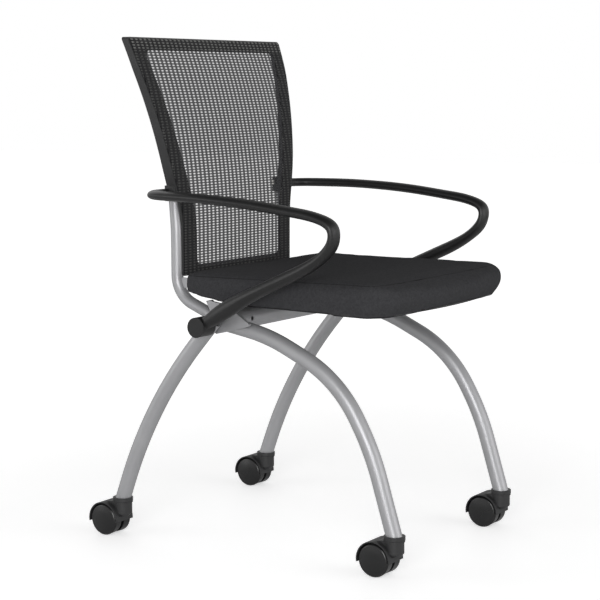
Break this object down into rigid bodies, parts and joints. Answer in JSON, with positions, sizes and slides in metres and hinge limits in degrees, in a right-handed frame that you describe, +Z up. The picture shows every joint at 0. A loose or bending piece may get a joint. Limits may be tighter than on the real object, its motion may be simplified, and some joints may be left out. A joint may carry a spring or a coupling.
{
  "type": "nesting chair",
  "caption": "Chair with arched tube legs on hooded casters, a flip-up upholstered seat, a framed mesh back and loop arms.",
  "frame": {"origin": "on the floor under the seat, midway between right and left and within 6 mm of the middle from front to rear", "axes": "+Z up, -Y towards the front of the seat, +X towards the sitter's left"},
  "size_m": [0.5738, 0.652, 0.9249],
  "materials": {
    "silver_paint": "silver powder coat",
    "plated_steel": "zinc plated",
    "black_steel": "black powder coat",
    "black_mesh": "open woven mesh",
    "black_upholstery": "fine woven cloth",
    "black_rubber": "matte",
    "caster_black": "moulded",
    "arm_black": "satin moulded",
    "black_plastic": "satin moulded"
  },
  "bodies": {
    "frame": {"arm_bolt_left": "plated_steel", "arm_bolt_right": "plated_steel", "arm_hub_cap_left": "arm_black", "arm_hub_cap_right": "arm_black", "arm_loop_left": "arm_black", "arm_loop_right": "arm_black", "arm_rear_screw_left": "plated_steel", "arm_rear_screw_right": "plated_steel", "back_frame": "black_plastic", "back_joint_block_left": "black_plastic", "back_joint_block_right": "black_plastic", "back_mesh": "black_mesh", "back_upright_tube_left": "silver_paint", "back_upright_tube_right": "silver_paint", "caster_stem_front_left": "plated_steel", "caster_stem_front_right": "plated_steel", "caster_stem_rear_left": "plated_steel", "caster_stem_rear_right": "plated_steel", "front_leg_tube_left": "silver_paint", "front_leg_tube_right": "silver_paint", "hinge_lug_left": "silver_paint", "hinge_lug_right": "silver_paint", "hinge_pin_left": "plated_steel", "hinge_pin_right": "plated_steel", "junction_gusset_left": "silver_paint", "junction_gusset_right": "silver_paint", "leg_ferrule_front_left": "black_plastic", "leg_ferrule_front_right": "black_plastic", "leg_ferrule_rear_left": "black_plastic", "leg_ferrule_rear_right": "black_plastic", "rear_leg_tube_left": "silver_paint", "rear_leg_tube_right": "silver_paint", "seat_cross_tube": "silver_paint", "seat_rest_pads": "black_rubber"},
    "seat": {"seat_cushion": "black_upholstery", "seat_pan": "black_plastic", "seat_hinge_arm_right": "black_steel", "seat_hinge_arm_left": "black_steel", "seat_screws": "plated_steel"},
    "caster_front_right": {"caster_hood_front_right": "black_plastic", "caster_axle_front_right": "plated_steel"},
    "wheel_front_right_outer": {"caster_wheel_front_right_outer": "caster_black"},
    "wheel_front_right_inner": {"caster_wheel_front_right_inner": "caster_black"},
    "caster_front_left": {"caster_hood_front_left": "black_plastic", "caster_axle_front_left": "plated_steel"},
    "wheel_front_left_outer": {"caster_wheel_front_left_outer": "caster_black"},
    "wheel_front_left_inner": {"caster_wheel_front_left_inner": "caster_black"},
    "caster_rear_right": {"caster_hood_rear_right": "black_plastic", "caster_axle_rear_right": "plated_steel"},
    "wheel_rear_right_outer": {"caster_wheel_rear_right_outer": "caster_black"},
    "wheel_rear_right_inner": {"caster_wheel_rear_right_inner": "caster_black"},
    "caster_rear_left": {"caster_hood_rear_left": "black_plastic", "caster_axle_rear_left": "plated_steel"},
    "wheel_rear_left_outer": {"caster_wheel_rear_left_outer": "caster_black"},
    "wheel_rear_left_inner": {"caster_wheel_rear_left_inner": "caster_black"}
  },
  "joints": [
    {"name": "seat_flip", "type": "hinge", "parent": "frame", "child": "seat", "pos_m": [0, 0.143, 0.478], "axis": [-1, 0, 0], "range_deg": [0, 75]},
    {"name": "swivel_front_right", "type": "hinge", "parent": "frame", "child": "caster_front_right", "pos_m": [-0.199, -0.302, 0.055], "axis": [0, 0, 1], "continuous": true},
    {"name": "roll_front_right_outer", "type": "hinge", "parent": "caster_front_right", "child": "wheel_front_right_outer", "pos_m": [-0.199, -0.272, 0.03], "axis": [1, 0, 0], "continuous": true},
    {"name": "roll_front_right_inner", "type": "hinge", "parent": "caster_front_right", "child": "wheel_front_right_inner", "pos_m": [-0.199, -0.272, 0.03], "axis": [1, 0, 0], "continuous": true},
    {"name": "swivel_front_left", "type": "hinge", "parent": "frame", "child": "caster_front_left", "pos_m": [0.199, -0.302, 0.055], "axis": [0, 0, 1], "continuous": true},
    {"name": "roll_front_left_outer", "type": "hinge", "parent": "caster_front_left", "child": "wheel_front_left_outer", "pos_m": [0.199, -0.272, 0.03], "axis": [1, 0, 0], "continuous": true},
    {"name": "roll_front_left_inner", "type": "hinge", "parent": "caster_front_left", "child": "wheel_front_left_inner", "pos_m": [0.199, -0.272, 0.03], "axis": [1, 0, 0], "continuous": true},
    {"name": "swivel_rear_right", "type": "hinge", "parent": "frame", "child": "caster_rear_right", "pos_m": [-0.234, 0.268, 0.055], "axis": [0, 0, 1], "continuous": true},
    {"name": "roll_rear_right_outer", "type": "hinge", "parent": "caster_rear_right", "child": "wheel_rear_right_outer", "pos_m": [-0.234, 0.298, 0.03], "axis": [1, 0, 0], "continuous": true},
    {"name": "roll_rear_right_inner", "type": "hinge", "parent": "caster_rear_right", "child": "wheel_rear_right_inner", "pos_m": [-0.234, 0.298, 0.03], "axis": [1, 0, 0], "continuous": true},
    {"name": "swivel_rear_left", "type": "hinge", "parent": "frame", "child": "caster_rear_left", "pos_m": [0.234, 0.268, 0.055], "axis": [0, 0, 1], "continuous": true},
    {"name": "roll_rear_left_outer", "type": "hinge", "parent": "caster_rear_left", "child": "wheel_rear_left_outer", "pos_m": [0.234, 0.298, 0.03], "axis": [1, 0, 0], "continuous": true},
    {"name": "roll_rear_left_inner", "type": "hinge", "parent": "caster_rear_left", "child": "wheel_rear_left_inner", "pos_m": [0.234, 0.298, 0.03], "axis": [1, 0, 0], "continuous": true}
  ]
}
